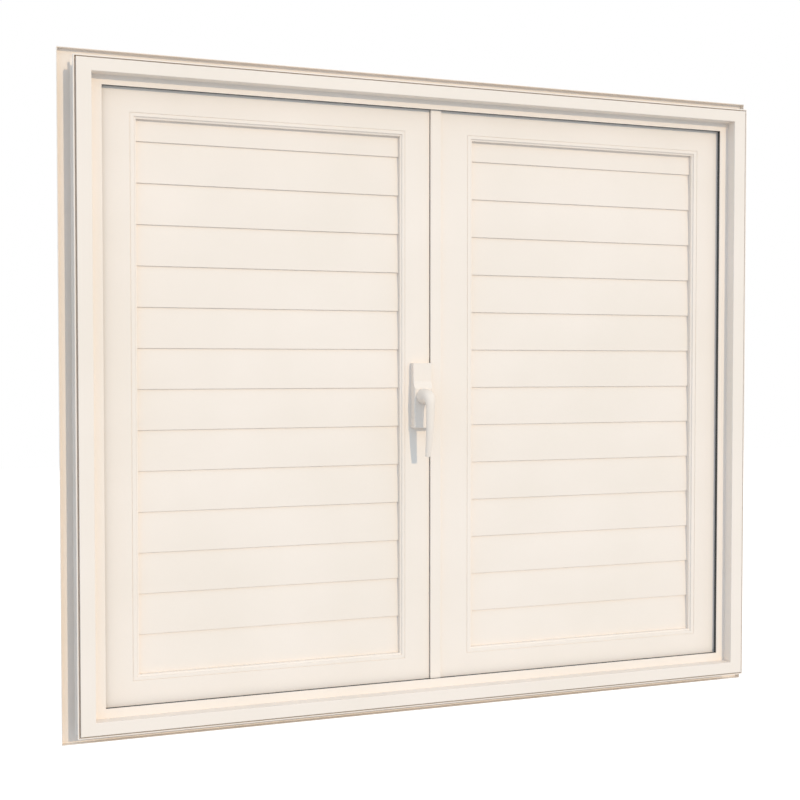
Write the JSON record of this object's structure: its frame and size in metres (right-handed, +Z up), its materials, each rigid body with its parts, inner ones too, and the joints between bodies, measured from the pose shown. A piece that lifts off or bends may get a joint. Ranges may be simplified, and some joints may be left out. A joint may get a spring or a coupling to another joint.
{
  "type": "louvred shutters",
  "caption": "Pair of louvred aluminium shutter leaves in their flanged frame, with a turning lever handle, lock rods, shoot bolts and rear hinges.",
  "frame": {"origin": "centre of the four wall screw holes, on the room side of the frame's flange", "axes": "+X across the opening to the right as seen from the room, +Y outdoors, +Z up"},
  "size_m": [1.1964, 0.1033, 1.0444],
  "materials": {
    "frame_coat": "satin cream powder coat",
    "leaf_coat": "satin cream powder coat",
    "slat_coat": "satin cream powder coat",
    "hinge_coat": "satin cream powder coat",
    "handle_coat": "smooth cream powder coat",
    "gasket_rubber": "matt dark grey weather seal",
    "mill_aluminium": "mill finish",
    "bare_steel": "zinc plated",
    "cast_zinc": "as cast"
  },
  "bodies": {
    "frame": {"frame_corner_cleats": "mill_aluminium", "frame_gasket": "gasket_rubber", "frame_head": "frame_coat", "frame_hinge_plates": "hinge_coat", "frame_left_jamb": "frame_coat", "frame_right_jamb": "frame_coat", "frame_sill": "frame_coat", "hinge_pins": "bare_steel", "lock_keeps": "bare_steel"},
    "left_leaf": {"handle_base": "handle_coat", "handle_gearcase": "cast_zinc", "left_bottom_rail": "leaf_coat", "left_corner_cleats": "mill_aluminium", "left_hinge_plates": "hinge_coat", "left_hinge_stile": "leaf_coat", "left_meeting_stile": "leaf_coat", "left_slat_01": "slat_coat", "left_slat_02": "slat_coat", "left_slat_03": "slat_coat", "left_slat_04": "slat_coat", "left_slat_05": "slat_coat", "left_slat_06": "slat_coat", "left_slat_07": "slat_coat", "left_slat_08": "slat_coat", "left_slat_09": "slat_coat", "left_slat_10": "slat_coat", "left_slat_11": "slat_coat", "left_slat_12": "slat_coat", "left_slat_13": "slat_coat", "left_slat_14": "slat_coat", "left_top_rail": "leaf_coat"},
    "right_leaf": {"meeting_profile": "leaf_coat", "right_bottom_rail": "leaf_coat", "right_corner_cleats": "mill_aluminium", "right_hinge_plates": "hinge_coat", "right_hinge_stile": "leaf_coat", "right_meeting_stile": "leaf_coat", "right_slat_01": "slat_coat", "right_slat_02": "slat_coat", "right_slat_03": "slat_coat", "right_slat_04": "slat_coat", "right_slat_05": "slat_coat", "right_slat_06": "slat_coat", "right_slat_07": "slat_coat", "right_slat_08": "slat_coat", "right_slat_09": "slat_coat", "right_slat_10": "slat_coat", "right_slat_11": "slat_coat", "right_slat_12": "slat_coat", "right_slat_13": "slat_coat", "right_slat_14": "slat_coat", "right_top_rail": "leaf_coat"},
    "lever": {"handle_lever": "handle_coat", "handle_spindle": "bare_steel"},
    "upper_rod": {"upper_lock_rod": "bare_steel"},
    "lower_rod": {"lower_lock_rod": "bare_steel"},
    "upper_bolt": {"upper_shoot_bolt": "bare_steel"},
    "lower_bolt": {"lower_shoot_bolt": "bare_steel"}
  },
  "joints": [
    {"name": "left_leaf_swing", "type": "hinge", "parent": "frame", "child": "left_leaf", "pos_m": [-0.5594, 0.0205, 0], "axis": [0, 0, 1], "range_deg": [0, 170]},
    {"name": "right_leaf_swing", "type": "hinge", "parent": "frame", "child": "right_leaf", "pos_m": [0.5594, 0.0205, 0], "axis": [0, 0, -1], "range_deg": [0, 170]},
    {"name": "handle_turn", "type": "hinge", "parent": "left_leaf", "child": "lever", "pos_m": [-0.0299, -0.04, 0], "axis": [0, 1, 0], "range_deg": [0, 90]},
    {"name": "upper_rod_slide", "type": "slide", "parent": "left_leaf", "child": "upper_rod", "axis": [0, 0, -1], "range_m": [0, 0.018]},
    {"name": "lower_rod_slide", "type": "slide", "parent": "left_leaf", "child": "lower_rod", "axis": [0, 0, 1], "range_m": [0, 0.018]},
    {"name": "upper_bolt_slide", "type": "slide", "parent": "right_leaf", "child": "upper_bolt", "axis": [0, 0, -1], "range_m": [0, 0.012]},
    {"name": "lower_bolt_slide", "type": "slide", "parent": "right_leaf", "child": "lower_bolt", "axis": [0, 0, 1], "range_m": [0, 0.012]}
  ],
  "couplings": [
    {"joint": "upper_rod_slide", "follows": "handle_turn", "m_per_rad": 0.011459},
    {"joint": "lower_rod_slide", "follows": "handle_turn", "m_per_rad": 0.011459}
  ]
}
